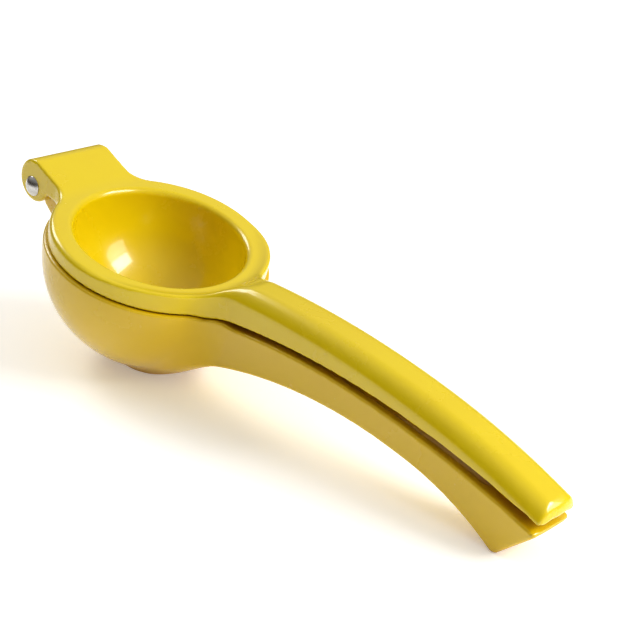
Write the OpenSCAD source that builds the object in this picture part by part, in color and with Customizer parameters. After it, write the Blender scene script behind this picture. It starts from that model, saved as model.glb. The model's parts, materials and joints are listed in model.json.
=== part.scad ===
// Hinged lemon squeezer: two cast halves that turn on one rivet.
// The halves are drawn level, with the parting plane at z = 0, the cup's axis at x = 0 and the
// handles along +x. seated() then tips them until the bowl's foot and the tip of the lower handle
// stand on z = 0.

/* [Cup and flange] */
// Radius of the flange round the pressing cup
flange_r = 38; // [34:0.5:46]
// Thickness of the flange
flange_t = 6; // [5.6:0.1:8]
// Wall of the pressing cup
cup_wall = 3; // [2:0.2:4]
// Height of the cup's centre above the parting plane
cup_rise = 3; // [1:0.2:4]
// Space for the peel between the cup and the bowl
peel_gap = 3.5; // [2:0.1:6]

/* [Bowl] */
// How far the bowl's edge stands out from the flange
bowl_lip = 1.3; // [0:0.1:3]
// Wall of the bowl
bowl_wall = 3; // [2.4:0.1:4]
// Height that the flat foot takes off the bowl's round part
foot_cut = 2.3; // [1:0.1:4]
// Depth of the straight wall above the bowl's round part
bowl_straight = 2; // [0.5:0.5:4]
// Radius of the strainer holes
strainer_r = 1.8; // [1.2:0.1:2.2]
// Radii of the rings of strainer holes
strainer_rings = [4.8, 9.6]; // [2:0.1:12]
// Number of holes in each ring
strainer_counts = [6, 12]; // [3:1:16]

/* [Handles] */
// Width of both handles
grip_w = 17.6; // [14:0.2:22]
// Distance from the flange's edge to the highest point of the gap
gap_peak_out = 104; // [84:1:120]
// Height of the gap's upper edge at its highest point
gap_peak_z = 18; // [12:0.5:24]
// Radius of the gap's long curve
gap_curve_r = 309; // [240:1:420]
// Opening between the closed handles
gap_h = 3.2; // [2:0.1:5]
// Distance from the flange's edge to the highest point of the top handle
top_peak_out = 90; // [74:1:110]
// Height of the top handle at its highest point
top_peak_z = 26; // [22:0.1:34]
// Radii of the top handle's back, before and after its highest point
top_curve_r = [380, 240]; // [160:1:600]
// Distance from the flange's edge in to the foot of the top handle's climb
root_in = 1; // [0.5:0.5:6]
// Slope of the top handle's climb out of the flange
root_climb = 50; // [30:1:60]
// Fillets between the handles and the two round rims, seen from above
root_fillet = 9; // [4:0.5:14]
// Rounding of the top handle's two upper edges
crown_r = 6; // [2:0.5:7]
// Distance from the flange's edge to the highest point of the lower handle's underside
under_peak_out = 90; // [74:1:110]
// Height of the underside at its highest point
under_peak_z = 4.4; // [0:0.2:8]
// Radii of the underside, before and after its highest point
under_curve_r = [175, 88]; // [60:1:300]
// Distance from the flange's edge to the tip of the lower handle
tip_out = 124; // [112:1:140]
// Distance from the tip, along the ground, to the ends of the handles
heel_l = 15.5; // [10:0.5:22]
// Slope of the lower handle's end face
heel_angle = 42; // [30:1:60]
// Setback of the lower handle's end from the top handle's end
heel_setback = 1; // [0:0.2:3]
// Rounding of the handles' end corners, seen from above
end_r = 3; // [1:0.5:5]
// Depth of the channels in the two facing sides of the handles
channel_d = 5; // [2:0.5:6]
// Wall beside each channel
channel_wall = 3.2; // [2:0.2:5]
// Distance from the flange's edge to the start of the channels
channel_start = 20; // [10:1:40]
// Distance from the end of the channels to the tip
channel_end = 10; // [6:1:40]

/* [Hinge] */
// Distance from the bowl's edge out to the hinge pin
pin_out = 12.3; // [12:0.1:20]
// Width of the hinge tab on the upper half
tab_w = 31.4; // [26:0.2:40]
// Depth of the hinge pin under the parting plane
pin_drop = 0.4; // [0:0.1:2]
// Rise of the tab's top from the flange to its round end
tab_rise = 3.5; // [0:0.1:5]
// Height of the tab's underside
tab_under = 0.4; // [0:0.1:1]
// Radius of the tab's round end
tab_end_r = 7.7; // [6.4:0.1:8.4]
// Fillets between the tab and the flange, seen from above
tab_fillet = 5; // [2:0.5:8]
// Radius of the knuckle between the tab's ears
knuckle_r = 5; // [4.5:0.1:5.1]
// Width of the knuckle
knuckle_w = 19.8; // [14:0.2:24]
// Radius of the rivet's shank
rivet_r = 2.5; // [2:0.1:3]
// Radius of the rivet's domed heads
rivet_head_r = 3.7; // [3.2:0.1:4.2]
// Height of the rivet's domed heads
rivet_head_h = 1.9; // [1:0.1:2.6]

/* [Fits] */
// Seam between the flange and the bowl's edge
seam = 0.3; // [0.2:0.05:0.6]
// Running clearance of the knuckle between the ears and under the tab
knuckle_gap = 0.35; // [0.3:0.05:0.6]
// Radial clearance of the rivet in the ears
ear_fit = 0.02; // [0.01:0.01:0.04]
// Radial clearance of the rivet in the knuckle
pin_fit = 0.06; // [0.03:0.01:0.1]

/* [Hidden] */
$fn = 96;

enamel = [0.93, 0.74, 0.10];
steel = [0.78, 0.78, 0.76];

// The tab's web reaches this far down over the knuckle's outer side
web_end_z = 3;
// Corners of the arm's underside, inward and down from the pin
arm_step = [0.6, 7.7];
arm_bend = [4.8, 10.1];
// Depth at which the arm's underside runs into the bowl
arm_foot = 17;
// Depth of the slabs that the lower handle's root fillets are cut from
root_depth = 12;
// Height that the flat takes off the bottom of the pressing cup's balls
ball_flat = 0.25;
// The fillets of the roots end this far inside the bar they lead to
root_inset = 0.15;
// Joins are this deep where one shape runs into another
joint_overlap = 1;
// Larger than the whole squeezer
far = 400;

bowl_r = flange_r + bowl_lip;
bowl_inner_r = bowl_r - bowl_wall;
bowl_depth = bowl_straight + bowl_r - foot_cut;
press_r = bowl_inner_r - peel_gap;
cup_r = press_r - cup_wall;
root_x = flange_r - root_in;
gap_peak_x = flange_r + gap_peak_out;
top_peak_x = flange_r + top_peak_out;
under_peak_x = flange_r + under_peak_out;
tip_x = flange_r + tip_out;
pin_x = -bowl_r - pin_out;
foot_r = sqrt(pow(bowl_r, 2) - pow(bowl_depth - bowl_straight, 2));
floor_in = bowl_depth - bowl_wall;
grip_half = grip_w / 2;
tab_half = tab_w / 2;
slot_half = knuckle_w / 2 + knuckle_gap;
slot_r = knuckle_r + knuckle_gap;

// Heights of a point on an arc whose highest point is at peak
function arc_z(peak_x, peak_z, r, x) = peak_z - r + sqrt(r * r - pow(x - peak_x, 2));
tip_z = arc_z(under_peak_x, under_peak_z, under_curve_r[1], tip_x);

// The ground cuts this much off the tip and off the foot's edge, which leaves two small flats
tip_flat = 0.7;
foot_flat = 0.3;
span_x = tip_x - foot_r;
span_z = tip_z + bowl_depth;
tilt = atan2(span_z, span_x) + asin((tip_flat - foot_flat) / norm([span_x, span_z]));

// The tab's top climbs from halfway across the flange, at this slope, to the round end
tab_centre = [pin_x, flange_t + tab_rise - tab_end_r];
tab_foot_x = -(flange_r + cup_r) / 2;
tab_reach = [tab_foot_x, flange_t] - tab_centre;
tab_slope = asin(tab_end_r / norm(tab_reach)) - atan2(tab_reach[1], tab_reach[0]);

// Where a point of the level drawing lies once the squeezer is tipped
function tipped(p) = [p[0] * cos(tilt) + p[1] * sin(tilt), p[1] * cos(tilt) - p[0] * sin(tilt)];
ground_z = tipped([foot_r, -bowl_depth])[1] + foot_flat;
tip_at = tipped([tip_x, tip_z]);
end_x = tip_at[0] + heel_l;
middle_x = (tipped(tab_centre)[0] - tab_end_r + end_x) / 2;

module seated() {
    translate([-middle_x, 0, -ground_z]) rotate([0, tilt, 0]) children();
}

// Draws in the tipped position, inside the level drawing
module untipped() {
    rotate([0, -tilt, 0]) children();
}

// A side view, drawn in x and z, made w wide about y = 0
module side(w) {
    translate([0, w / 2, 0]) rotate([90, 0, 0]) linear_extrude(w) children();
}

// Everything above height h
module above(h) {
    translate([-far, -far, h]) cube(2 * far);
}

// Side view of everything under a two-arc back, whose arcs meet at its highest point
module under_back(peak_x, peak_z, radii) {
    intersection() {
        translate([peak_x, peak_z - radii[0]]) circle(r = radii[0], $fn = 720);
        translate([peak_x - far, -far]) square([far, 2 * far]);
    }
    intersection() {
        translate([peak_x, peak_z - radii[1]]) circle(r = radii[1], $fn = 720);
        translate([peak_x - joint_overlap / 10, -far]) square([far, 2 * far]);
    }
}

// Side view of everything under the gap's curve, lowered by h
module under_gap(h) {
    translate([gap_peak_x, gap_peak_z - gap_curve_r - h]) circle(r = gap_curve_r, $fn = 720);
}

// Plan of the fillets between a disc of radius r and a bar of half width w
module root_plan(r, bar_w, fillet) {
    w = bar_w - root_inset;
    reach = sqrt(pow(r + fillet, 2) - pow(w + fillet, 2));
    meet_y = (w + fillet) * r / (r + fillet);
    meet_x = reach * r / (r + fillet);
    difference() {
        translate([meet_x - joint_overlap, -meet_y]) square([reach - meet_x + joint_overlap, 2 * meet_y]);
        for (s = [-1, 1]) translate([reach, s * (w + fillet)]) circle(r = fillet);
    }
}

// Plan of both handles from the cup's axis to an upright end at x
module grip_plan(x) {
    translate([0, -grip_half]) square([x - end_r, grip_w]);
    translate([0, end_r - grip_half]) square([x, grip_w - 2 * end_r]);
    for (s = [-1, 1]) translate([x - end_r, s * (grip_half - end_r)]) circle(r = end_r);
}

// The long bar both handles are cut from, with an upright end once the squeezer is tipped
module grip_bar(x) {
    untipped() translate([0, 0, -far / 2]) linear_extrude(far) grip_plan(x);
}

// Rounds the top handle's upper edges along one of its two arcs
module crown(peak_x, peak_z, r) {
    translate([peak_x, 0, peak_z - r]) rotate([90, 0, 0]) rotate_extrude($fn = 720) {
        translate([r / 2, -grip_half]) square([r / 2 - crown_r, grip_w]);
        translate([r / 2, crown_r - grip_half]) square([r / 2, grip_w - 2 * crown_r]);
        for (s = [-1, 1]) translate([r - crown_r, s * (grip_half - crown_r)]) circle(r = crown_r);
    }
}

module crowned_back() {
    for (i = [0, 1]) intersection() {
        crown(top_peak_x, top_peak_z, top_curve_r[i]);
        translate([top_peak_x - (i == 0 ? far : joint_overlap / 10), -far / 2, -far / 2]) cube(far);
    }
}

// Channel in a handle, in the side view between the gap's curve and one level with it
module channel(low, high) {
    intersection() {
        side(grip_w - 2 * channel_wall) difference() {
            under_gap(low);
            under_gap(high);
        }
        translate([flange_r + channel_start, -far / 2, -far / 2])
            cube([tip_x - channel_end - flange_r - channel_start, far, far]);
    }
}

module upper_handle() {
    difference() {
        intersection() {
            grip_bar(end_x);
            crowned_back();
            // The back climbs out of the flange's top
            translate([root_x, 0, flange_t]) rotate([0, -root_climb, 0])
                translate([0, -far / 2, -far]) cube([far, far, far]);
            translate([root_x, -far / 2, -far / 2]) cube(far);
        }
        side(far) under_gap(0);
        channel(-channel_d, gap_h);
    }
}

module lower_handle() {
    heel_x = end_x - heel_setback;
    difference() {
        intersection() {
            grip_bar(heel_x);
            side(far) under_gap(gap_h);
            translate([bowl_r / 2, -far / 2, -far / 2]) cube(far);
            untipped() translate([tip_at[0], 0, tip_at[1]])
                rotate([0, -heel_angle, 0]) translate([-far, -far / 2, 0]) cube([2 * far, far, far]);
        }
        side(far) under_back(under_peak_x, under_peak_z, under_curve_r);
        channel(gap_h - joint_overlap, gap_h + channel_d);
    }
}

// Tab that reaches out from the flange to the hinge and holds its two ears
module tab() {
    difference() {
        union() {
            side(tab_w) {
                translate(tab_centre) circle(r = tab_end_r);
                polygon([
                    tab_centre + tab_end_r * [sin(tab_slope), cos(tab_slope)], [tab_foot_x, flange_t],
                    [-cup_r - joint_overlap, flange_t], [-cup_r - joint_overlap, tab_under], [pin_x, tab_under]
                ]);
            }
            translate([0, 0, tab_under]) mirror([1, 0, 0]) linear_extrude(flange_t - tab_under)
                root_plan(flange_r, tab_half, tab_fillet);
        }
        // Between the ears: the knuckle's own round space, and the way in from below
        translate([pin_x, 0, -pin_drop]) rotate([90, 0, 0]) cylinder(r = slot_r, h = 2 * slot_half, center = true);
        translate([pin_x - far, -slot_half, tab_under - far]) cube([2 * far, 2 * slot_half, far]);
        translate([pin_x - far, -slot_half, -joint_overlap]) cube([far, 2 * slot_half, joint_overlap + web_end_z]);
        // The bowl's edge lies under the tab's root
        translate([0, 0, -far]) cylinder(r = bowl_r + seam, h = far);
    }
}

// Flange round the cup, with the fillets of the handle's root
module flange() {
    linear_extrude(flange_t) {
        circle(r = flange_r);
        root_plan(flange_r, grip_half, root_fillet);
    }
}

// Ball of the pressing cup up to height top, with a small flat under it
module cup_ball(r, top) {
    intersection() {
        translate([0, 0, cup_rise]) sphere(r = r, $fn = 180);
        translate([-far, -far, cup_rise - r + ball_flat]) cube([2 * far, 2 * far, top - cup_rise + r - ball_flat]);
    }
}

module press_half() {
    color(enamel) seated() difference() {
        union() {
            flange();
            cup_ball(press_r, flange_t - joint_overlap);
            tab();
            upper_handle();
        }
        cup_ball(cup_r, cup_rise);
        translate([0, 0, cup_rise]) cylinder(r = cup_r, h = far, $fn = 180);
        translate([pin_x, 0, -pin_drop]) rotate([90, 0, 0]) cylinder(r = rivet_r + ear_fit, h = far, center = true);
    }
}

// Outline of a ball that has a straight collar above it
module ball(r) {
    translate([0, 0, -bowl_straight]) sphere(r = r, $fn = 180);
    translate([0, 0, -bowl_straight]) cylinder(r = r, h = bowl_straight + joint_overlap, $fn = 180);
}

// Arm that carries the knuckle, in the side view
module arm_side() {
    top_z = tab_under - knuckle_gap;
    foot_x = -bowl_r + 2 * bowl_wall;
    polygon([
        [pin_x, top_z], [foot_x, top_z], [foot_x, -arm_foot], [pin_x + arm_bend[0], -pin_drop - arm_bend[1]],
        [pin_x + arm_step[0], -pin_drop - arm_step[1]], [pin_x, -pin_drop - knuckle_r]
    ]);
    translate([pin_x, -pin_drop]) circle(r = knuckle_r);
}

module bowl_half() {
    color(enamel) seated() difference() {
        union() {
            ball(bowl_r);
            lower_handle();
            intersection() {
                translate([0, 0, -root_depth]) linear_extrude(far) root_plan(bowl_r, grip_half, root_fillet);
                side(far) under_gap(gap_h);
            }
            side(knuckle_w) arm_side();
        }
        // The inside, with a flat floor
        intersection() {
            ball(bowl_inner_r);
            translate([-far / 2, -far / 2, -floor_in]) cube(far);
        }
        // The edge stays a seam below the parting plane, and the handle beyond the edge keeps its height
        intersection() {
            above(-seam);
            translate([0, 0, -far / 2]) cylinder(r = bowl_r + joint_overlap / 2, h = far);
        }
        translate([-far / 2, -far / 2, -bowl_depth - far]) cube([far, far, far]);
        for (ring = [0 : len(strainer_rings) - 1], i = [0 : strainer_counts[ring] - 1])
            rotate([0, 0, 360 * i / strainer_counts[ring]]) translate([strainer_rings[ring], 0, -bowl_depth - joint_overlap])
                cylinder(r = strainer_r, h = bowl_wall + 2 * joint_overlap, $fn = 48);
        translate([pin_x, 0, -pin_drop]) rotate([90, 0, 0]) cylinder(r = rivet_r + pin_fit, h = far, center = true);
        // The ground
        untipped() translate([-far, -far, ground_z - far]) cube([2 * far, 2 * far, far]);
    }
}

module hinge_rivet() {
    dome_r = (pow(rivet_head_r, 2) + pow(rivet_head_h, 2)) / (2 * rivet_head_h);
    color(steel) seated() translate([pin_x, 0, -pin_drop]) rotate([90, 0, 0]) {
        cylinder(r = rivet_r, h = tab_w, center = true);
        for (s = [0, 1]) mirror([0, 0, s]) intersection() {
            translate([0, 0, tab_half]) cylinder(r = rivet_head_r, h = rivet_head_h);
            translate([0, 0, tab_half + rivet_head_h - dome_r]) sphere(r = dome_r);
        }
    }
}

press_half();
bowl_half();
hinge_rivet();
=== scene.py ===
"""Looks of a hinged lemon squeezer: two enamelled castings, a polished rivet, and a plain studio.

Both castings are carved out of distance fields. A field gives each point's distance to the casting's
surface, so that fillets, rounded edges and bores come out smooth, and skin() turns it into a mesh.
The fields are written in the level drawing of the CAD: parting plane at z = 0, cup's axis at x = 0,
handles along +x. Seat.matrix() tips the finished mesh onto its foot and tip, where the frame has it.
"""

import json
import math

import bmesh
import bpy
import numpy as np
from mathutils import Matrix, Vector


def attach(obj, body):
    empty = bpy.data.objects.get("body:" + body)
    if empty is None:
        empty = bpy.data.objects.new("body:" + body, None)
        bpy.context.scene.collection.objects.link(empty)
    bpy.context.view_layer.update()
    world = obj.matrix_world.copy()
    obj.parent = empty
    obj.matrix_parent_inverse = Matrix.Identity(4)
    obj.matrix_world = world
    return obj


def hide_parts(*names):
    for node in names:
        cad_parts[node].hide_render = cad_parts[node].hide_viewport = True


bl_info = {
    "name": "Lemon squeezer",
    "version": (1, 0, 0),
    "blender": (4, 5, 0),
    "location": "View3D > Sidebar > Squeezer",
    "description": "Builds an enamelled hinged lemon squeezer around its CAD frame",
    "category": "Object",
}

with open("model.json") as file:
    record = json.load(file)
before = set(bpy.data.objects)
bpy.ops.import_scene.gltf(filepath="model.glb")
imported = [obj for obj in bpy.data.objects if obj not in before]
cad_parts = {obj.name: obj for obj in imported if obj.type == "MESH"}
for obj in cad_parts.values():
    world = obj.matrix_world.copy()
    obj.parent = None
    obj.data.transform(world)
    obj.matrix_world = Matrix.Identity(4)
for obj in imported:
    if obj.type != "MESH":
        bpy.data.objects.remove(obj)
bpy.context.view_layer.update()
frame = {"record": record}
HINGE = Vector(frame["record"]["behaviour"]["joints"][0]["pos_m"])

# ---------------------------------------------------------------------------------------------
# Sizes and colours that a user may change
# ---------------------------------------------------------------------------------------------


def length(name, default, text):
    """A length in metres, shown with its unit."""
    return bpy.props.FloatProperty(
        name=name, default=default, description=text, min=0.0, precision=5, unit="LENGTH", subtype="DISTANCE"
    )


def angle(name, degrees, text):
    """An angle, kept in radians and shown in degrees."""
    return bpy.props.FloatProperty(
        name=name, default=math.radians(degrees), description=text, unit="ROTATION", subtype="ANGLE"
    )


def share(name, default, text):
    """A number from 0 to 1."""
    return bpy.props.FloatProperty(
        name=name, default=default, description=text, min=0.0, max=1.0, subtype="FACTOR"
    )


def power(name, default, text):
    """A lamp's power in watts."""
    return bpy.props.FloatProperty(name=name, default=default, description=text, min=0.0, unit="POWER")


def colour(name, default, text):
    """A colour without alpha."""
    return bpy.props.FloatVectorProperty(
        name=name, default=default, description=text, size=3, min=0.0, max=1.0, subtype="COLOR"
    )


class CastingSizes(bpy.types.PropertyGroup):
    """Cup, flange, bowl and edges of the two castings."""

    flange_r: length("Flange radius", 0.038, "Radius of the flange round the pressing cup")
    flange_t: length("Flange thickness", 0.006, "Thickness of the flange")
    cup_r: length("Cup mouth radius", 0.0298, "Radius of the pressing cup's mouth")
    cup_wall: length("Cup wall", 0.003, "Wall of the pressing cup")
    cup_rise: length("Cup centre height", 0.003, "Height of the cup's centre above the parting plane")
    bowl_r: length("Bowl radius", 0.0393, "Outer radius of the bowl")
    bowl_wall: length("Bowl wall", 0.003, "Wall of the bowl")
    bowl_depth: length("Bowl depth", 0.039, "Depth of the bowl's flat foot under the parting plane")
    bowl_straight: length("Straight wall", 0.002, "Depth of the straight wall above the bowl's round part")
    strainer_r: length("Strainer hole radius", 0.0018, "Radius of the holes in the bowl's floor")
    seam: length("Seam", 0.0003, "Seam between the flange and the bowl's edge")
    rim_edge: length("Flange edge", 0.0019, "Rounding of the flange's upper edge")
    mouth_edge: length("Mouth edge", 0.0021, "Rounding of the cup's mouth")
    bowl_edge: length("Bowl edge", 0.0009, "Rounding of the bowl's edge at the seam")
    fine_edge: length("Fine edges", 0.0006, "Rounding of the small edges")
    pitch: length("Mesh pitch", 0.00085, "Distance between the points of the castings' meshes")


class HandleSizes(bpy.types.PropertyGroup):
    """The two long handles."""

    width: length("Handle width", 0.0176, "Width of both handles")
    gap_peak_x: length("Gap peak", 0.142, "Distance from the cup's axis to the highest point of the gap")
    gap_peak_z: length("Gap peak height", 0.018, "Height of the gap's upper edge at its highest point")
    gap_curve_r: length("Gap radius", 0.309, "Radius of the gap's long curve")
    gap_root: length("Gap at the root", 0.0021, "Opening between the handles near the bowl")
    gap_end: length("Gap at the end", 0.0034, "Opening between the handles at their ends")
    top_peak_x: length("Back peak", 0.128, "Distance from the cup's axis to the highest point of the back")
    top_peak_z: length("Back peak height", 0.0257, "Height of the upper handle's back at its highest point")
    top_root_r: length("Back radius before", 0.350, "Radius of the back before its highest point")
    top_end_r: length("Back radius after", 0.240, "Radius of the back after its highest point")
    under_peak_x: length("Underside peak", 0.128, "Cup's axis to the highest point of the underside")
    under_peak_z: length("Underside peak height", 0.0044, "Height of the underside at its highest point")
    under_root_r: length("Underside radius before", 0.175, "Radius of the underside before its highest point")
    under_end_r: length("Underside radius after", 0.088, "Radius of the underside after its highest point")
    climb: angle("Climb", 62.0, "Slope of the upper handle's climb out of the flange")
    climb_r: length("Climb foot", 0.0372, "Distance from the cup's axis to the foot of the climb")
    climb_foot: length("Climb hollow", 0.0042, "Radius of the hollow at the foot of the climb")
    climb_shoulder: length("Climb shoulder", 0.0055, "Radius of the shoulder at the top of the climb")
    root_fillet: length("Upper root fillet", 0.009, "Fillets between the upper handle and the flange")
    bowl_fillet: length("Lower root fillet", 0.009, "Fillets between the lower handle and the bowl")
    crown: length("Crown", 0.0062, "Rounding of the upper handle's two upper edges")
    side_edge: length("Lower edges", 0.0012, "Rounding of the lower handle's edges")
    tip_x: length("Tip", 0.162, "Distance from the cup's axis to the tip of the lower handle")
    tip_r: length("Tip rounding", 0.0020, "Rounding of the lower handle's tip")
    heel: length("Heel", 0.0155, "Distance from the tip to the ends of the handles, along the ground")
    heel_slope: angle("Heel slope", 42.0, "Slope of the lower handle's end face")
    heel_setback: length("Heel setback", 0.001, "How far the lower handle's end stays back from the upper's")
    end_bow: length("End bow", 0.028, "Radius of the handles' bowed ends, seen from above")
    channel_depth: length("Channel depth", 0.005, "Depth of the channels in the facing sides of the handles")
    channel_wall: length("Channel wall", 0.0032, "Wall beside each channel")


class HingeSizes(bpy.types.PropertyGroup):
    """Tab, knuckle and rivet."""

    pin_x: length("Pin distance", 0.0516, "Distance from the cup's axis to the hinge pin")
    pin_drop: length("Pin depth", 0.0004, "Depth of the hinge pin under the parting plane")
    tab_w: length("Tab width", 0.0314, "Width of the hinge tab")
    tab_rise: length("Tab rise", 0.0035, "Rise of the tab's top from the flange to its round end")
    tab_under: length("Tab underside", 0.0004, "Height of the tab's underside")
    tab_end_r: length("Tab end radius", 0.0077, "Radius of the tab's round end")
    tab_fillet: length("Tab fillet", 0.005, "Fillets between the tab and the flange, seen from above")
    tab_edge: length("Tab edge", 0.0009, "Rounding of the tab's edges")
    web_end: length("Web end", 0.003, "Height at which the tab's web ends over the knuckle's outer side")
    knuckle_r: length("Knuckle radius", 0.005, "Radius of the knuckle between the tab's ears")
    knuckle_w: length("Knuckle width", 0.0198, "Width of the knuckle")
    knuckle_gap: length("Knuckle clearance", 0.00035, "Clearance of the knuckle between the ears")
    rivet_r: length("Rivet radius", 0.0025, "Radius of the rivet's shank")
    head_r: length("Rivet head radius", 0.0037, "Radius of the rivet's domed heads")
    head_h: length("Rivet head height", 0.0019, "Height of the rivet's domed heads")


class FinishLook(bpy.types.PropertyGroup):
    """Enamel and polished steel."""

    paint: colour("Enamel", (0.80, 0.61, 0.003), "Colour of the enamel")
    # Deep colour: the thin enamel over edges and the clouds in the enamel, and the painted shade that the
    # lower casting leans towards
    deep_paint_and_shade: colour("Thin enamel and painted shade", (0.72, 0.42, 0.004), "Colour where the enamel runs thin over an edge")
    # Painted shade: the colour that the enamel is mixed to where the gap, the seam and the hollows lie in
    # shade
    shade: colour("Painted crevice shade", (0.42, 0.22, 0.003), "Colour of the paint deep in the gap and the seam")
    gloss: share("Enamel roughness", 0.24, "Roughness of the enamel under its clear surface")
    coat: share("Clear surface", 0.65, "How much the clear surface over the enamel reflects")
    ripple: share("Ripple", 0.35, "Strength of the fine ripple in the enamel")
    steel: colour("Steel", (0.74, 0.73, 0.70), "Colour of the polished rivet")


class StudioLook(bpy.types.PropertyGroup):
    """Floor, lamps and camera."""

    lens: bpy.props.FloatProperty(
        name="Focal length", default=82.25, description="Focal length for a 36 mm sensor",
        min=1.0, unit="CAMERA",
    )
    floor: colour("Floor", (0.93, 0.93, 0.93), "Colour of the pale floor")
    warmth: colour("Horizon", (1.0, 0.84, 0.66), "Tint of the surroundings near the horizon")
    paper: colour("Floor light", (1.0, 0.96, 0.90), "Tint of the light that the floor gives off")
    key: power("Key lamp", 6.2, "Power of the softbox beside the handles")
    low: power("Low lamp", 2.6, "Power of the weaker softbox under it")
    fill: power("Fill lamp", 2.8, "Power of the softbox beyond the hinge")
    sky: share("Surroundings", 0.50, "Brightness of the pale surroundings overhead")
    dusk: share("Dark side", 0.6, "How far the surroundings darken behind the camera, near the horizon")
    glow: share("Floor glow", 0.2, "Light that the floor gives off, as a lit sweep does")
    clean: share("Clean floor", 0.07, "How much paler the floor itself shows")


SETTINGS = {
    "squeezer_castings": CastingSizes,
    "squeezer_handles": HandleSizes,
    "squeezer_hinge": HingeSizes,
    "squeezer_finish": FinishLook,
    "squeezer_studio": StudioLook,
}


def settings():
    """The scene's five groups of sizes and looks."""
    return [getattr(bpy.context.scene, name) for name in SETTINGS]


# ---------------------------------------------------------------------------------------------
# Distance fields
# ---------------------------------------------------------------------------------------------

# Fine measures in metres. A pair gives where a ramp starts and stops.
TAB_TO_RIM = (-0.044, -0.030)  # x over which the tab's fine edge grows into the flange's
RIM_TO_CROWN = (0.036, 0.047)  # x over which the flange's edge grows into the handle's crown
TAB_BLEND = 0.0006  # reach of the blend between the flange's top and the tab's
TAB_END = 0.004  # distance before the pin at which the ears take over from the tab
LIP_RAMP = 0.0008  # length over which the tab's underside and the arm's top leave the parting plane
EAR_FILLET = 0.0015  # fillet between an ear and the web
EAR_FILLET_Z = (0.0008, 0.0025)  # height over which that fillet runs out
NO_FILLET = 1e-6  # the least fillet that the blends take
SLOT_EDGE = 0.0005  # rounding of the slot between the ears
END_EDGE = 0.0010  # rounding of the upper handle's end at its sides
END_SWELL = 0.0016  # what the middle of the end has more
END_SIDES = (0.003, 0.007)  # distance from the middle over which that runs out
BALL_TOP = 0.002  # depth under the flange's top at which the cup's ball ends
BALL_FILLET = 0.0015  # fillet between the ball and the flange
EAR_FIT = 0.00002  # clearance of the rivet in the ears
KNUCKLE_FIT = 0.00006  # clearance of the rivet in the knuckle
KNUCKLE_EDGE = 0.0009  # rounding of the knuckle and the arm
BAR_START = 0.014  # x at which the lower handle starts inside the bowl
GAP_ROOT_X = 0.049  # x at which the gap has its width at the root
ARM_FOOT_Z = -0.017  # height at which the arm meets the bowl
ARM_BEND = (0.0048, -0.0101)  # bend of the arm's underside, from the pin
ARM_STEP = (0.0006, -0.0077)  # last corner of the arm's underside, from the pin
ARM_FILLET = 0.003  # fillet between the arm and the bowl
FLOOR_EDGE = 0.003  # rounding of the bowl's inside round its flat floor
INNER_EDGE = 0.0008  # rounding of the bowl's edge on the inside
STRAINER_RINGS = ((0.0048, 6), (0.0096, 12))  # radius of each ring of holes, and how many it has
STRAINER_EDGE = 0.0004  # rounding of the holes' edges
FOOT_EDGE = 0.0005  # rounding of the flat foot
GROUND_EDGE = 0.0003  # rounding of the flats that the squeezer lies on
CHANNEL_START = 0.020  # distance from the flange to the start of the channels
CHANNEL_STOP = 0.010  # distance from the end of the channels to the tip
CHANNEL_EDGE = 0.0012  # rounding along the channels' floors
CHANNEL_ROUND = 0.003  # rounding of the channels' ends
CHANNEL_LAP = 0.001  # how far a channel's shape reaches out of the casting


def join(a, b, r):
    """Both shapes, with a fillet of radius r where their surfaces meet."""
    return np.maximum(r, np.minimum(a, b)) - np.hypot(np.maximum(r - a, 0.0), np.maximum(r - b, 0.0))


def common(a, b, r):
    """What both shapes share, with its edges rounded to radius r."""
    return np.minimum(-r, np.maximum(a, b)) + np.hypot(np.maximum(r + a, 0.0), np.maximum(r + b, 0.0))


def cut(a, b, r):
    """Shape a without shape b, with its edges rounded to radius r."""
    return common(a, -b, r)


def ramp(value, start, stop):
    """0 before start, 1 after stop, and a smooth rise between them."""
    t = np.clip((value - start) / (stop - start), 0.0, 1.0)
    return t * t * (3.0 - 2.0 * t)


def bend(x, z, peak_x, peak_z, root_r, end_r):
    """Distance above a line of two arcs, which meet at its highest point."""
    r = np.where(x < peak_x, root_r, end_r)
    return np.hypot(x - peak_x, z - peak_z + r) - r


def bowed_end(along, across, reach, bow):
    """Distance past an upright end that reaches so far along and is bowed in plan."""
    middle = reach - bow
    return np.where(along > middle, np.hypot(along - middle, across), 0.0) - bow


class Seat:
    """How the level drawing is tipped: its slope, and where the ground and the middle of its length lie."""

    TIP_FLAT = 0.0007
    FOOT_FLAT = 0.0003

    def __init__(self, c, h, g):
        foot_r = math.sqrt(c.bowl_r**2 - (c.bowl_depth - c.bowl_straight) ** 2)
        over = h.tip_x - h.under_peak_x
        tip_z = h.under_peak_z - h.under_end_r + math.sqrt(h.under_end_r**2 - over**2)
        span = Vector((h.tip_x - foot_r, tip_z + c.bowl_depth))
        self.tilt = math.atan2(span.y, span.x) + math.asin((self.TIP_FLAT - self.FOOT_FLAT) / span.length)
        self.cos, self.sin = math.cos(self.tilt), math.sin(self.tilt)
        self.ground = self.tipped(foot_r, -c.bowl_depth)[1] + self.FOOT_FLAT
        self.tip = self.tipped(h.tip_x, tip_z)
        self.end = self.tip[0] + h.heel
        self.tab_z = c.flange_t + g.tab_rise - g.tab_end_r
        self.middle = (self.tipped(-g.pin_x, self.tab_z)[0] - g.tab_end_r + self.end) / 2

    def tipped(self, x, z):
        """Where x and z of the level drawing lie once it is tipped."""
        return x * self.cos + z * self.sin, z * self.cos - x * self.sin

    def matrix(self):
        """Takes the level drawing to its place in the frame."""
        return Matrix.Translation((-self.middle, 0.0, -self.ground)) @ Matrix.Rotation(self.tilt, 4, "Y")


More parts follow.
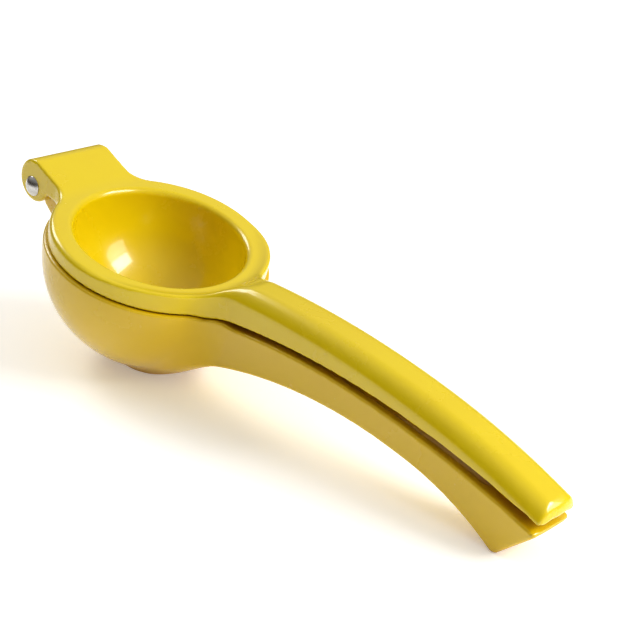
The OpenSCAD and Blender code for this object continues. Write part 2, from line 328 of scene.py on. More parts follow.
def channel(h, c, x, y, over, middle):
    """The long hollow in the facing side of a handle. over is the distance above the gap's upper edge, and
    middle is the over at which the hollow's own middle lies.
    """
    start, stop = c.flange_r + CHANNEL_START, h.tip_x - CHANNEL_STOP
    across = np.abs(y) - h.width / 2 + h.channel_wall
    hollow = common(np.abs(over - middle) - h.channel_depth / 2, across, CHANNEL_EDGE)
    return common(hollow, np.abs(x - (start + stop) / 2) - (stop - start) / 2, CHANNEL_ROUND)


def press_field(c, h, g, s, x, y, z):
    """The upper casting: flange, pressing cup, hinge tab and upper handle."""
    round_out = np.hypot(x, y)
    along, _ = s.tipped(x, z)
    over_gap = bend(x, z, h.gap_peak_x, h.gap_peak_z, h.gap_curve_r, h.gap_curve_r)

    # Outline from above: flange, handle bar and tab, with the fillets between them
    bar = np.maximum(np.abs(y) - h.width / 2, -x)
    plan = join(round_out - c.flange_r, bar, h.root_fillet)
    plan = join(plan, np.maximum(np.abs(y) - g.tab_w / 2, x), g.tab_fillet)

    # Top: the flat flange, the climb and the curved back, and the tab's slight rise
    level = z - c.flange_t
    climb = level * math.cos(h.climb) - (round_out - h.climb_r) * math.sin(h.climb)
    back = common(
        bend(x, z, h.top_peak_x, h.top_peak_z, h.top_root_r, h.top_end_r), climb, h.climb_shoulder
    )
    top = np.where(x > 0, join(level, back, h.climb_foot), level)
    tab_foot = -(c.flange_r + c.cup_r) / 2
    reach = Vector((tab_foot + g.pin_x, c.flange_t - s.tab_z))
    slope = math.asin(g.tab_end_r / reach.length) - math.atan2(reach.y, reach.x)
    tab_top = (x - tab_foot) * math.sin(slope) + level * math.cos(slope)
    lap = np.maximum(TAB_BLEND - np.abs(level - tab_top), 0.0)
    top = np.where(x < 0, np.minimum(top, tab_top) - lap * lap / (4 * TAB_BLEND), top)

    # Edge rounding: the tab's is fine, the flange's is soft, and the handle's crown is wide
    edge = g.tab_edge + (c.rim_edge - g.tab_edge) * ramp(x, *TAB_TO_RIM)
    edge = edge + (h.crown - c.rim_edge) * ramp(x, *RIM_TO_CROWN)
    body = common(plan, top, edge)
    lip = g.tab_under * ramp(round_out, c.bowl_r, c.bowl_r + LIP_RAMP) * (x < 0)
    body = common(body, np.where(x > c.flange_r, -over_gap, lip - z), c.fine_edge)
    end_edge = END_EDGE + END_SWELL * (1.0 - ramp(np.abs(y), *END_SIDES))
    body = common(body, bowed_end(along, y, s.end, h.end_bow), end_edge)
    body = np.maximum(body, TAB_END - g.pin_x - x)

    # Hinge tab
    ear = np.hypot(x + g.pin_x, z - s.tab_z) - g.tab_end_r
    web = np.maximum(np.maximum(tab_top, g.tab_under - z), np.maximum(-g.pin_x - x, x + c.cup_r))
    fillet = EAR_FILLET * (1.0 - ramp(z, *EAR_FILLET_Z)) + NO_FILLET
    body = np.minimum(body, common(join(ear, web, fillet), np.abs(y) - g.tab_w / 2, g.tab_edge))

    # Pressing cup
    cup = np.hypot(round_out, np.minimum(z - c.cup_rise, 0.0))
    ball = np.maximum(np.hypot(round_out, z - c.cup_rise) - c.cup_r - c.cup_wall, z - c.flange_t + BALL_TOP)
    body = join(body, ball, BALL_FILLET)
    body = cut(body, cup - c.cup_r, c.mouth_edge)

    # Room for the knuckle between the ears, the hollow under the handle, and the bore
    pin = np.hypot(x + g.pin_x, z + g.pin_drop)
    below = np.maximum(z - g.tab_under, x + c.bowl_r + c.seam)
    outer = np.maximum(x + g.pin_x, z - g.web_end)
    slot = np.minimum(np.minimum(pin - g.knuckle_r - g.knuckle_gap, below), outer)
    body = cut(body, np.maximum(slot, np.abs(y) - g.knuckle_w / 2 - g.knuckle_gap), SLOT_EDGE)
    body = cut(body, channel(h, c, x, y, over_gap, h.channel_depth / 2 - CHANNEL_LAP), c.fine_edge)
    return np.maximum(body, g.rivet_r + EAR_FIT - pin)


def bowl_field(c, h, g, s, x, y, z):
    """The lower casting: bowl with its strainer, lower handle, arm and knuckle."""
    round_out = np.hypot(x, y)
    along, up = s.tipped(x, z)
    over_gap = bend(x, z, h.gap_peak_x, h.gap_peak_z, h.gap_curve_r, h.gap_curve_r)
    body = np.hypot(round_out, np.minimum(z + c.bowl_straight, 0.0)) - c.bowl_r

    # Lower handle, from inside the bowl to its bowed end and rounded tip
    under = -bend(x, z, h.under_peak_x, h.under_peak_z, h.under_root_r, h.under_end_r)
    heel = (along - s.tip[0]) * math.sin(h.heel_slope) - (up - s.tip[1]) * math.cos(h.heel_slope)
    bar = common(common(under, heel, h.tip_r), np.abs(y) - h.width / 2, h.side_edge)
    bar = common(bar, bowed_end(along, y, s.end - h.heel_setback, h.end_bow), h.side_edge)
    body = join(body, np.maximum(bar, BAR_START - x), h.bowl_fillet)

    # Arm that carries the knuckle
    foot = (-c.bowl_r + 2 * c.bowl_wall, ARM_FOOT_Z)
    bend_at = (-g.pin_x + ARM_BEND[0], -g.pin_drop + ARM_BEND[1])
    step = (-g.pin_x + ARM_STEP[0], -g.pin_drop + ARM_STEP[1])
    round_off = (-g.pin_x, -g.pin_drop - g.knuckle_r)
    arm = np.maximum(-g.pin_x - x, x - foot[0])
    for (x0, z0), (x1, z1) in zip((foot, bend_at, step), (bend_at, step, round_off)):
        side = math.hypot(x1 - x0, z1 - z0)
        arm = np.maximum(arm, ((x - x0) * (z1 - z0) - (z - z0) * (x1 - x0)) / side * -1.0)
    arm = common(arm, np.abs(y) - g.knuckle_w / 2, KNUCKLE_EDGE)
    body = join(body, arm, ARM_FILLET)

    # The edge at the seam, and the gap that opens under the upper handle
    opening = c.seam + (h.gap_root - c.seam) * ramp(x, c.bowl_r, GAP_ROOT_X)
    opening = opening + (h.gap_end - h.gap_root) * ramp(x, GAP_ROOT_X, h.tip_x)
    rise = g.tab_under - g.knuckle_gap + c.seam
    arm_top = rise * ramp(round_out, c.bowl_r, c.bowl_r + LIP_RAMP) * (x < 0)
    body = common(body, np.where(x > c.flange_r, over_gap, z) + opening - arm_top, c.bowl_edge)
    pin = np.hypot(x + g.pin_x, z + g.pin_drop)
    body = np.minimum(body, common(pin - g.knuckle_r, np.abs(y) - g.knuckle_w / 2, KNUCKLE_EDGE))

    # Inside of the bowl, its strainer, and the flat foot
    inside = np.hypot(round_out, np.minimum(z + c.bowl_straight, 0.0)) - c.bowl_r + c.bowl_wall
    body = cut(body, common(inside, c.bowl_wall - c.bowl_depth - z, FLOOR_EDGE), INNER_EDGE)
    turn = np.arctan2(y, x)
    for ring, count in STRAINER_RINGS:
        part = 2 * math.pi / count
        off = (turn + part / 2) % part - part / 2
        hole = np.hypot(round_out * np.cos(off) - ring, round_out * np.sin(off)) - c.strainer_r
        body = cut(body, np.maximum(hole, z + c.bowl_depth - 2 * c.bowl_wall), STRAINER_EDGE)
    body = common(body, -c.bowl_depth - z, FOOT_EDGE)
    middle = -h.gap_end - h.channel_depth / 2 + CHANNEL_LAP
    body = cut(body, channel(h, c, x, y, over_gap, middle), c.fine_edge)
    body = np.maximum(body, g.rivet_r + KNUCKLE_FIT - pin)
    return common(body, s.ground - up, GROUND_EDGE)


# ---------------------------------------------------------------------------------------------
# Meshes
# ---------------------------------------------------------------------------------------------

CORNERS = np.array([(i, j, k) for i in (0, 1) for j in (0, 1) for k in (0, 1)])
CELL_EDGES = [(a, b) for a in range(8) for b in range(a + 1, 8) if np.abs(CORNERS[a] - CORNERS[b]).sum() == 1]
SLOPE_STEP = 4e-5  # metres over which a field's slope is measured
LEAST_SLOPE = 0.25  # square of the least slope that a move is divided by
LONGEST_MOVE = 0.5  # longest move of a point in one round, as a share of the pitch
SPREAD = 0.5  # how far a point goes towards the middle of its neighbours in one round
END_ROOM = 0.008  # room past the handles' ends, which the tip of the drawing can take up


def slopes(field, p):
    """Gradient of the field at each point."""
    g = np.empty_like(p)
    for i in range(3):
        ahead, behind = p.copy(), p.copy()
        ahead[:, i] += SLOPE_STEP
        behind[:, i] -= SLOPE_STEP
        g[:, i] = (field(*ahead.T) - field(*behind.T)) / (2 * SLOPE_STEP)
    return g


def settle(field, p, pitch, rounds):
    """Moves each point onto the surface along the field's slope."""
    for _ in range(rounds):
        g = slopes(field, p)
        move = -field(*p.T)[:, None] * g / np.maximum((g * g).sum(1), LEAST_SLOPE)[:, None]
        far = np.linalg.norm(move, axis=1)[:, None]
        p = p + move * np.minimum(1.0, LONGEST_MOVE * pitch / np.maximum(far, 1e-12))
    return p


def skin(field, low, high, pitch):
    """Points and quads over the surface where the field is zero, on a grid that is even about y = 0."""
    wide = int(math.ceil(high[1] / pitch)) + 1
    axes = [
        np.arange(low[0] - 2 * pitch, high[0] + 3 * pitch, pitch),
        np.arange(-wide, wide + 1) * pitch,
        np.arange(low[2] - 2 * pitch, high[2] + 3 * pitch, pitch),
    ]
    value = np.stack([field(*np.meshgrid([x], axes[1], axes[2], indexing="ij"))[0] for x in axes[0]])
    full = value < 0
    n = np.array(value.shape) - 1
    count = sum(full[i : n[0] + i, j : n[1] + j, k : n[2] + k].astype(np.int8) for i, j, k in CORNERS)
    cells = np.argwhere((count > 0) & (count < 8))
    number = np.full(n, -1, dtype=np.int64)
    number[tuple(cells.T)] = np.arange(len(cells))

    total, crossings = np.zeros((len(cells), 3)), np.zeros(len(cells))
    for a, b in CELL_EDGES:
        at_a, at_b = cells + CORNERS[a], cells + CORNERS[b]
        va, vb = value[tuple(at_a.T)], value[tuple(at_b.T)]
        crosses = (va < 0) != (vb < 0)
        t = np.where(crosses, va / np.where(crosses, va - vb, 1.0), 0.0)
        total += np.where(crosses[:, None], CORNERS[a] + t[:, None] * (CORNERS[b] - CORNERS[a]), 0.0)
        crossings += crosses
    start = np.array([axis[0] for axis in axes])
    points = start + pitch * (cells + total / crossings[:, None])

    quads = []
    for axis in range(3):
        u, v = (axis + 1) % 3, (axis + 2) % 3
        here = np.take(full, range(full.shape[axis] - 1), axis)
        there = np.take(full, range(1, full.shape[axis]), axis)
        where = np.argwhere(here != there)
        where = where[(where[:, u] > 0) & (where[:, v] > 0)]
        rings = []
        for du, dv in ((1, 1), (0, 1), (0, 0), (1, 0)):
            cell = where.copy()
            cell[:, u] -= du
            cell[:, v] -= dv
            rings.append(number[tuple(cell.T)])
        quad = np.stack(rings, axis=1)
        leaves = here[tuple(where.T)]
        quads.append(np.where(leaves[:, None], quad, quad[:, ::-1]))
    return points, np.concatenate(quads)


def even_out(field, points, quads, pitch, rounds):
    """Spreads the points evenly over the surface."""
    ends = np.concatenate([quads[:, [i, (i + 1) % 4]] for i in range(4)])
    for _ in range(rounds):
        total, count = np.zeros_like(points), np.zeros(len(points))
        np.add.at(total, ends[:, 0], points[ends[:, 1]])
        np.add.at(count, ends[:, 0], 1.0)
        points = points + SPREAD * (total / count[:, None] - points)
        points = settle(field, points, pitch, 2)
    return points


def casting(name, field, low, high, pitch, place):
    """A smooth closed object from a field, tipped into the frame."""
    points, quads = skin(field, low, high, pitch)
    points = settle(field, points, pitch, 3)
    points = even_out(field, points, quads, pitch, 2)
    points = settle(field, points, pitch, 2)
    normals = slopes(field, points)
    normals /= np.maximum(np.linalg.norm(normals, axis=1), 1e-9)[:, None]
    turn = np.array(place.to_3x3())
    mesh = bpy.data.meshes.new(name)
    mesh.from_pydata((points @ turn.T + np.array(place.translation)).tolist(), [], quads.tolist())
    mesh.shade_smooth()
    mesh.normals_split_custom_set_from_vertices((normals @ turn.T).tolist())
    mesh.validate()
    return place_object(name, mesh)


def place_object(name, mesh):
    """A new object of that mesh in the scene, in place of one with the same name."""
    old = bpy.data.objects.get(name)
    if old:
        bpy.data.objects.remove(old, do_unlink=True)
    made = bpy.data.objects.new(name, mesh)
    bpy.context.scene.collection.objects.link(made)
    return made


def turned(name, profile, steps, place):
    """A piece turned on the hinge's axis from (radius, distance along the axis) pairs."""
    bm = bmesh.new()
    rings = []
    for r, along in profile:
        if r <= 0.0:
            rings.append([bm.verts.new((0.0, along, 0.0))])
            continue
        turns = [2 * math.pi * i / steps for i in range(steps)]
        rings.append([bm.verts.new((r * math.cos(t), along, r * math.sin(t))) for t in turns])
    for a, b in zip(rings, rings[1:]):
        for i in range(steps):
            j = (i + 1) % steps
            corners = [a[i % len(a)], a[j % len(a)], b[j % len(b)], b[i % len(b)]]
            corners = list(dict.fromkeys(corners))
            if len(corners) > 2:
                bm.faces.new(corners)
    bmesh.ops.recalc_face_normals(bm, faces=bm.faces)
    for face in bm.faces:
        face.smooth = True
    bmesh.ops.transform(bm, matrix=place, verts=bm.verts)
    mesh = bpy.data.meshes.new(name)
    bm.to_mesh(mesh)
    bm.free()
    return place_object(name, mesh)


# ---------------------------------------------------------------------------------------------
# Materials
# ---------------------------------------------------------------------------------------------

FINE_SHARE = 0.22  # height of the fine ripple against that of the long waves
EDGE_SOFTNESS = 0.12  # how gradually the mask of sharp edges comes in
CLOUD = 0.10  # share of the deep colour in the clouds of the enamel
THIN = 0.35  # share of the deep colour on sharp edges
RUBBED = 0.07  # roughness that rubbing adds to the enamel
SHADE_ROUGHNESS = 0.5  # roughness added to the enamel where the crevice shade is painted
RIPPLE_DEPTH = 0.00012  # depth of the ripple in metres
COAT_ROUGHNESS = 0.06
ENAMEL_IOR = 1.5
LOWER_PAINTED_SHADE = 0.45  # how far the lower casting's enamel leans to the deep colour, as painted shade
STEEL_GREY = 0.72  # brightness of the handled steel against the clean
STEEL_ROUGHNESS = (0.14, 0.30)  # of clean and of handled steel
RING_DEPTH = 0.00005  # depth of the rings of turning in metres


def linked(tree, kind, inputs=None, **settings_of):
    """A new node with its settings, and its inputs set to values or linked to sockets."""
    node = tree.nodes.new(kind)
    for key, value in settings_of.items():
        setattr(node, key, value)
    for key, value in (inputs or {}).items():
        if isinstance(value, bpy.types.NodeSocket):
            tree.links.new(value, node.inputs[key])
        else:
            node.inputs[key].default_value = value
    return node


def new_group(name, takes, gives):
    """An empty node group with those sockets, and its two end nodes."""
    tree = bpy.data.node_groups.new(name, "ShaderNodeTree")
    for label, kind, default in takes:
        socket = tree.interface.new_socket(label, in_out="INPUT", socket_type=kind)
        socket.default_value = default
    for label, kind in gives:
        tree.interface.new_socket(label, in_out="OUTPUT", socket_type=kind)
    return tree, tree.nodes.new("NodeGroupInput"), tree.nodes.new("NodeGroupOutput")


def ripple_group():
    """Fine ripple and long waves of a sprayed and baked finish, as a height and a mask."""
    tree, start, stop = new_group(
        "sprayed_ripple",
        [("Ripple scale", "NodeSocketFloat", 420.0), ("Wave scale", "NodeSocketFloat", 60.0)],
        [("Height", "NodeSocketFloat"), ("Mask", "NodeSocketFloat")],
    )
    where = linked(tree, "ShaderNodeTexCoord").outputs["Object"]
    fine = linked(
        tree, "ShaderNodeTexNoise",
        {"Vector": where, "Scale": start.outputs["Ripple scale"], "Detail": 1.5, "Roughness": 0.4},
    )
    wave = linked(
        tree, "ShaderNodeTexNoise",
        {"Vector": where, "Scale": start.outputs["Wave scale"], "Detail": 2.0, "Roughness": 0.45},
    )
    height = linked(
        tree, "ShaderNodeMath", {0: fine.outputs[0], 1: FINE_SHARE, 2: wave.outputs[0]},
        operation="MULTIPLY_ADD",
    )
    mask = linked(
        tree, "ShaderNodeMapRange",
        {"Value": wave.outputs[0], "From Min": 0.35, "From Max": 0.68, "To Min": 0.0, "To Max": 1.0},
    )
    tree.links.new(height.outputs[0], stop.inputs["Height"])
    tree.links.new(mask.outputs[0], stop.inputs["Mask"])
    return tree


def painted_shade_group():
    """Painted shade in the gap, the seam and the narrow hollows, as a mask from ambient occlusion."""
    tree, start, stop = new_group(
        "crevices", [("Depth", "NodeSocketFloat", 0.55)], [("Mask", "NodeSocketFloat")]
    )
    open_sky = linked(tree, "ShaderNodeAmbientOcclusion", {"Distance": 0.012}, samples=6)
    mask = linked(
        tree, "ShaderNodeMapRange",
        {"Value": open_sky.outputs["AO"], "From Min": start.outputs["Depth"], "From Max": 0.05},
        interpolation_type="SMOOTHSTEP",
    )
    tree.links.new(mask.outputs[0], stop.inputs["Mask"])
    return tree


def worn_group():
    """Where paint runs thin over sharp edges and where hands rub it, as two masks."""
    tree, start, stop = new_group(
        "thin_edges",
        [("Sharpness", "NodeSocketFloat", 0.58), ("Grime scale", "NodeSocketFloat", 25.0)],
        [("Edge", "NodeSocketFloat"), ("Rub", "NodeSocketFloat")],
    )
    form = linked(tree, "ShaderNodeNewGeometry")
    sharp = start.outputs["Sharpness"]
    soft = linked(tree, "ShaderNodeMath", {0: sharp, 1: EDGE_SOFTNESS}, operation="ADD")
    edge = linked(
        tree, "ShaderNodeMapRange",
        {"Value": form.outputs["Pointiness"], "From Min": sharp, "From Max": soft.outputs[0]},
        interpolation_type="SMOOTHSTEP",
    )
    where = linked(tree, "ShaderNodeTexCoord").outputs["Object"]
    rub = linked(
        tree, "ShaderNodeTexNoise",
        {"Vector": where, "Scale": start.outputs["Grime scale"], "Detail": 6.0, "Roughness": 0.62},
    )
    rubbed = linked(
        tree, "ShaderNodeMapRange",
        {"Value": rub.outputs[0], "From Min": 0.42, "From Max": 0.7}, interpolation_type="SMOOTHSTEP",
    )
    tree.links.new(edge.outputs[0], stop.inputs["Edge"])
    tree.links.new(rubbed.outputs[0], stop.inputs["Rub"])
    return tree


def shared_group(name, make):
    """The node group of that name, made on first use."""
    return bpy.data.node_groups.get(name) or make()


def new_material(name):
    """An empty node material with its shader and output."""
    old = bpy.data.materials.get(name)
    if old:
        bpy.data.materials.remove(old)
    material = bpy.data.materials.new(name)
    material.use_nodes = True
    tree = material.node_tree
    tree.nodes.clear()
    shader = tree.nodes.new("ShaderNodeBsdfPrincipled")
    out = tree.nodes.new("ShaderNodeOutputMaterial")
    tree.links.new(shader.outputs[0], out.inputs[0])
    return material, tree, shader


def mixed(tree, factor, a, b):
    """Colour a turned into b by the factor."""
    node = linked(tree, "ShaderNodeMix", data_type="RGBA")
    sockets = [s for s in node.inputs if s.enabled]
    for socket, value in zip(sockets, (factor, a, b)):
        if isinstance(value, bpy.types.NodeSocket):
            tree.links.new(value, socket)
        else:
            socket.default_value = value
    return next(s for s in node.outputs if s.enabled)


def enamel(name, look, painted_shade_share):
    """Glossy baked enamel, with painted shade in its crevices. painted_shade_share, from 0 to 1, leans its
    whole colour to the deep colour as painted shade.
    """
    material, tree, shader = new_material(name)
    ripple = linked(tree, "ShaderNodeGroup", node_tree=shared_group("sprayed_ripple", ripple_group))
    worn = linked(tree, "ShaderNodeGroup", node_tree=shared_group("thin_edges", worn_group))
    deep = (*look.deep_paint_and_shade, 1.0)
    # Painted shade: the lower casting's enamel is leaned to the deep colour, darker and warmer than the
    # upper's
    paint = tuple(a + (b - a) * painted_shade_share for a, b in zip(look.paint, look.deep_paint_and_shade)) + (1.0,)
    cloud = linked(tree, "ShaderNodeMath", {0: ripple.outputs["Mask"], 1: CLOUD}, operation="MULTIPLY")
    base = mixed(tree, cloud.outputs[0], paint, deep)
    thin = linked(tree, "ShaderNodeMath", {0: worn.outputs["Edge"], 1: THIN}, operation="MULTIPLY")
    base = mixed(tree, thin.outputs[0], base, deep)
    # Painted shade: where ambient occlusion finds the gap, the seam and the hollows, the colour is mixed to
    # the shade colour, the clear surface is taken away and the enamel is roughened
    painted_shade = linked(tree, "ShaderNodeGroup", node_tree=shared_group("crevices", painted_shade_group))
    base = mixed(tree, painted_shade.outputs["Mask"], base, (*look.shade, 1.0))
    tree.links.new(base, shader.inputs["Base Color"])
    rough = linked(
        tree, "ShaderNodeMapRange",
        {"Value": worn.outputs["Rub"], "To Min": look.gloss, "To Max": look.gloss + RUBBED},
    )
    dull = linked(
        tree, "ShaderNodeMath", {0: painted_shade.outputs["Mask"], 1: SHADE_ROUGHNESS, 2: rough.outputs[0]},
        operation="MULTIPLY_ADD",
    )
    tree.links.new(dull.outputs[0], shader.inputs["Roughness"])
    coat = linked(
        tree, "ShaderNodeMapRange", {"Value": painted_shade.outputs["Mask"], "To Min": look.coat, "To Max": 0.0}
    )
    tree.links.new(coat.outputs[0], shader.inputs["Coat Weight"])
    bump = linked(
        tree, "ShaderNodeBump",
        {"Strength": look.ripple, "Distance": RIPPLE_DEPTH, "Height": ripple.outputs["Height"]},
    )
    tree.links.new(bump.outputs[0], shader.inputs["Normal"])
    shader.inputs["IOR"].default_value = ENAMEL_IOR
    shader.inputs["Coat Roughness"].default_value = COAT_ROUGHNESS
    shader.inputs["Coat IOR"].default_value = ENAMEL_IOR
    return material


def polished_steel(name, look):
    """Polished steel with the faint rings of turning, and a little grey where it is handled."""
    material, tree, shader = new_material(name)
    shared = shared_group("thin_edges", worn_group)
    worn = linked(tree, "ShaderNodeGroup", {"Grime scale": 320.0}, node_tree=shared)
    where = linked(tree, "ShaderNodeTexCoord").outputs["Object"]
    centred = linked(tree, "ShaderNodeVectorMath", {0: where, 1: HINGE}, operation="SUBTRACT")
    rings = linked(
        tree, "ShaderNodeTexWave",
        {"Vector": centred.outputs[0], "Scale": 700.0, "Distortion": 0.6, "Detail": 1.0},
        wave_type="RINGS", rings_direction="Y",
    )
    rub = worn.outputs["Rub"]
    grey = tuple(STEEL_GREY * v for v in look.steel) + (1.0,)
    tree.links.new(mixed(tree, rub, (*look.steel, 1.0), grey), shader.inputs["Base Color"])
    clean, handled = STEEL_ROUGHNESS
    rough = linked(tree, "ShaderNodeMapRange", {"Value": rub, "To Min": clean, "To Max": handled})
    tree.links.new(rough.outputs[0], shader.inputs["Roughness"])
    bump = linked(
        tree, "ShaderNodeBump", {"Strength": 0.08, "Distance": RING_DEPTH, "Height": rings.outputs["Fac"]}
    )
    tree.links.new(bump.outputs[0], shader.inputs["Normal"])
    shader.inputs["Metallic"].default_value = 1.0
    return material


# ---------------------------------------------------------------------------------------------
# Operators
# ---------------------------------------------------------------------------------------------


class SQUEEZER_OT_press_half(bpy.types.Operator):
    """Carve the upper casting: flange, pressing cup, hinge tab and upper handle"""

    bl_idname = "squeezer.press_half"
    bl_label = "Upper casting"

    def execute(self, context):
        c, h, g, look, _ = settings()
        s = Seat(c, h, g)
        low = (-g.pin_x - g.tab_end_r, 0.0, c.cup_rise - c.cup_r - c.cup_wall)
        high = (s.end + END_ROOM, c.flange_r, h.top_peak_z)
        piece = casting(
            "upper_casting", lambda x, y, z: press_field(c, h, g, s, x, y, z), low, high, c.pitch, s.matrix()
        )
        piece.data.materials.append(enamel("upper_enamel", look, 0.0))
        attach(piece, "press_half")
        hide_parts("press_half")
        return {"FINISHED"}


class SQUEEZER_OT_bowl_half(bpy.types.Operator):
    """Carve the lower casting: bowl with its strainer, lower handle, arm and knuckle"""

    bl_idname = "squeezer.bowl_half"
    bl_label = "Lower casting"

    def execute(self, context):
        c, h, g, look, _ = settings()
        s = Seat(c, h, g)
        low = (-g.pin_x - g.knuckle_r, 0.0, -c.bowl_depth)
        high = (s.end + END_ROOM, c.bowl_r, h.gap_peak_z)
        piece = casting(
            "lower_casting", lambda x, y, z: bowl_field(c, h, g, s, x, y, z), low, high, c.pitch, s.matrix()
        )
        # The lower casting's enamel is painted darker and warmer than the upper's, as painted shade
        piece.data.materials.append(enamel("lower_enamel", look, LOWER_PAINTED_SHADE))
        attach(piece, "bowl_half")
        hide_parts("bowl_half")
        return {"FINISHED"}


class SQUEEZER_OT_rivet(bpy.types.Operator):
    """Turn the hinge rivet with its two domed heads"""

    bl_idname = "squeezer.rivet"
    bl_label = "Hinge rivet"

    ROWS = 14  # rings of points from a head's edge to its middle
    STEPS = 64  # points round each ring
    # The two rings of a head's lower edge: how far inside its radius, and how high over the ear
    EDGE = ((0.00015, 0.00002), (0.00002, 0.00012))

    def execute(self, context):
        c, h, g, look, _ = settings()
        half = g.tab_w / 2
        ball = (g.head_r**2 + g.head_h**2) / (2 * g.head_h)
        widest = math.asin(g.head_r / ball)
        end = [(g.rivet_r, half)] + [(g.head_r - inset, half + rise) for inset, rise in self.EDGE]
        for i in range(1, self.ROWS):
            turn = widest * (1 - i / self.ROWS)
            end.append((ball * math.sin(turn), half + g.head_h - ball + ball * math.cos(turn)))
        end.append((0.0, half + g.head_h))
        profile = [(r, -along) for r, along in reversed(end)] + end
        piece = turned("hinge_rivet_turned", profile, self.STEPS, Matrix.Translation(HINGE))
        piece.data.materials.append(polished_steel("rivet_steel_polished", look))
        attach(piece, "press_half")
        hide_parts("hinge_rivet")
        return {"FINISHED"}


def softbox(name, power, place, aim, wide, high):
    """A soft rectangular lamp that faces a point."""
    light = bpy.data.lights.new(name, "AREA")
    light.shape = "RECTANGLE"
    light.size, light.size_y = wide, high
    light.energy = power
    lamp = bpy.data.objects.new(name, light)
    lamp.location = place
    lamp.rotation_euler = (Vector(aim) - Vector(place)).to_track_quat("-Z", "Y").to_euler()
    bpy.context.scene.collection.objects.link(lamp)


def around(azimuth, elevation, distance):
    """A place at that direction and distance from the middle of the object, angles in degrees."""
    a, e = math.radians(azimuth), math.radians(elevation)
    return Vector((math.cos(a) * math.cos(e), math.sin(a) * math.cos(e), math.sin(e))) * distance


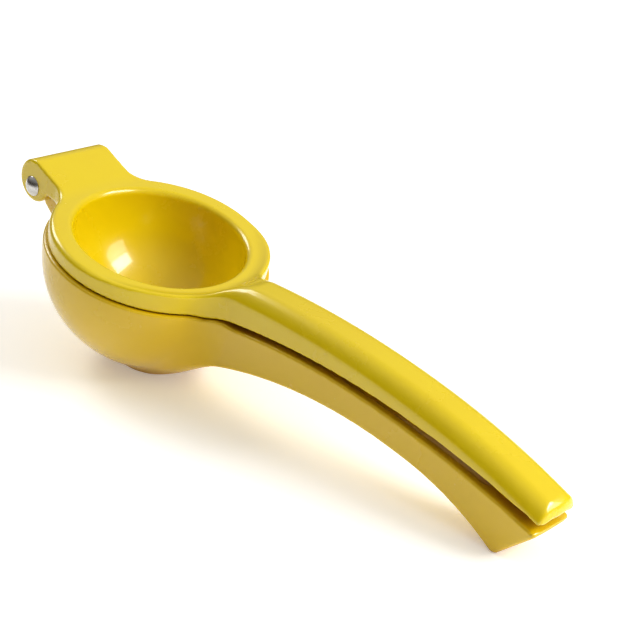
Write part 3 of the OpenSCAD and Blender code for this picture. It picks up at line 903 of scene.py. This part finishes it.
class SQUEEZER_OT_studio(bpy.types.Operator):
    """Set up the pale floor, the softboxes, the surroundings and the camera"""

    bl_idname = "squeezer.studio"
    bl_label = "Floor, lamps and camera"

    # Camera in the level drawing: its place, and its right, up and forward directions
    PLACE = (0.29815219, -0.31007065, 0.26671135)
    RIGHT = (0.68470751, 0.68750546, 0.24189227)
    FORWARD = (-0.49207818, 0.68091782, -0.54241126)
    SENSOR = 36.0  # millimetres
    CLIP = (0.01, 20.0)  # metres

    # Each softbox's azimuth and elevation in degrees, and its width and height
    LAMPS = {"key": (30, 38, 0.60, 0.28), "low": (30, 21, 0.66, 0.32), "fill": (180, 42, 0.42, 0.42)}
    LAMP_DISTANCE = 1.1
    LAMP_AIM = (0.0, 0.0, 0.03)

    FLOOR_HALF = 3.0  # half the floor's side
    FLOOR_GRAIN = 0.985  # brightness of the floor's darkest grain against the rest
    DARK_SIDE = -95  # azimuth in degrees round which the surroundings are dark
    HORIZON = 0.22  # brightness of the surroundings at the horizon against overhead

    def execute(self, context):
        c, h, g, _, look = settings()
        scene = context.scene
        self.floor(look)
        self.surroundings(scene, look)
        for name, (azimuth, elevation, wide, high) in self.LAMPS.items():
            place = around(azimuth, elevation, self.LAMP_DISTANCE)
            softbox(name + "_softbox", getattr(look, name), place, self.LAMP_AIM, wide, high)
        self.camera(scene, look, Seat(c, h, g).matrix())
        scene.view_settings.view_transform = "Standard"
        scene.view_settings.look = "Medium High Contrast"
        return {"FINISHED"}

    def floor(self, look):
        """A wide pale sheet under the object."""
        bm = bmesh.new()
        bmesh.ops.create_grid(bm, x_segments=8, y_segments=8, size=self.FLOOR_HALF)
        mesh = bpy.data.meshes.new("floor")
        bm.to_mesh(mesh)
        bm.free()
        piece = place_object("floor", mesh)
        material, tree, shader = new_material("floor_paper")
        where = linked(tree, "ShaderNodeTexCoord").outputs["Object"]
        grain = linked(tree, "ShaderNodeTexNoise", {"Vector": where, "Scale": 6.0, "Detail": 3.0})
        shade = tuple(self.FLOOR_GRAIN * v for v in look.floor) + (1.0,)
        tree.links.new(mixed(tree, grain.outputs[0], (*look.floor, 1.0), shade), shader.inputs["Base Color"])
        shader.inputs["Roughness"].default_value = 0.9
        shader.inputs["Specular IOR Level"].default_value = 0.1
        shader.inputs["Emission Color"].default_value = (*look.paper, 1.0)
        ray = linked(tree, "ShaderNodeLightPath").outputs["Is Camera Ray"]
        glow = linked(tree, "ShaderNodeMath", {0: ray, 1: look.clean, 2: look.glow}, operation="MULTIPLY_ADD")
        tree.links.new(glow.outputs[0], shader.inputs["Emission Strength"])
        piece.data.materials.append(material)

    def surroundings(self, scene, look):
        """Pale overhead and darker near the horizon, as in a room round a lit table."""
        world = bpy.data.worlds.new("surroundings")
        scene.world = world
        world.use_nodes = True
        tree = world.node_tree
        tree.nodes.clear()
        where = linked(tree, "ShaderNodeTexCoord").outputs["Generated"]
        height = linked(tree, "ShaderNodeSeparateXYZ", {0: where}).outputs["Z"]
        pale = linked(
            tree, "ShaderNodeMapRange",
            {"Value": height, "From Min": 0.02, "From Max": 0.75, "To Min": self.HORIZON, "To Max": 1.0},
            interpolation_type="SMOOTHSTEP",
        )
        away = around(self.DARK_SIDE, 0, 1.0)
        behind = linked(tree, "ShaderNodeVectorMath", {0: where, 1: away}, operation="DOT_PRODUCT")
        dark = linked(
            tree, "ShaderNodeMapRange",
            {"Value": behind.outputs["Value"], "From Min": 0.2, "From Max": 0.9, "To Min": look.sky,
             "To Max": look.sky * (1.0 - look.dusk)},
            interpolation_type="SMOOTHSTEP",
        )
        shade = linked(tree, "ShaderNodeMath", {0: pale.outputs[0], 1: dark.outputs[0]}, operation="MULTIPLY")
        tint = mixed(tree, pale.outputs[0], (*look.warmth, 1.0), (1.0, 1.0, 1.0, 1.0))
        light = linked(tree, "ShaderNodeBackground", {"Color": tint, "Strength": shade.outputs[0]})
        out = linked(tree, "ShaderNodeOutputWorld")
        tree.links.new(light.outputs[0], out.inputs[0])

    def camera(self, scene, look, place):
        """The camera at the angle of the picture that the object is built from."""
        right, forward = Vector(self.RIGHT), Vector(self.FORWARD)
        up = right.cross(forward)
        data = bpy.data.cameras.new("camera")
        data.lens, data.sensor_width = look.lens, self.SENSOR
        data.clip_start, data.clip_end = self.CLIP
        made = bpy.data.objects.new("camera", data)
        turn = place.to_3x3() @ Matrix((right, up, -forward)).transposed()
        made.matrix_world = Matrix.Translation(place @ Vector(self.PLACE)) @ turn.to_4x4()
        scene.collection.objects.link(made)
        scene.camera = made


class SQUEEZER_PT_panel(bpy.types.Panel):
    """Sizes, finishes and the steps that build the squeezer"""

    bl_label = "Squeezer"
    bl_idname = "SQUEEZER_PT_panel"
    bl_space_type = "VIEW_3D"
    bl_region_type = "UI"
    bl_category = "Squeezer"

    def draw(self, context):
        for step in STEPS:
            self.layout.operator(step.bl_idname)
        for name, kind in SETTINGS.items():
            box = self.layout.box()
            box.label(text=kind.__doc__)
            for key in kind.__annotations__:
                box.prop(getattr(context.scene, name), key)


STEPS = (SQUEEZER_OT_press_half, SQUEEZER_OT_bowl_half, SQUEEZER_OT_rivet, SQUEEZER_OT_studio)


def register():
    for kind in (*SETTINGS.values(), *STEPS, SQUEEZER_PT_panel):
        bpy.utils.register_class(kind)
    for name, kind in SETTINGS.items():
        setattr(bpy.types.Scene, name, bpy.props.PointerProperty(type=kind))


def unregister():
    for name in SETTINGS:
        delattr(bpy.types.Scene, name)
    for kind in reversed((*SETTINGS.values(), *STEPS, SQUEEZER_PT_panel)):
        bpy.utils.unregister_class(kind)


def main():
    """Builds every piece and the studio."""
    register()
    bpy.ops.squeezer.press_half()
    bpy.ops.squeezer.bowl_half()
    bpy.ops.squeezer.rivet()
    bpy.ops.squeezer.studio()


if __name__ == "__main__":
    main()
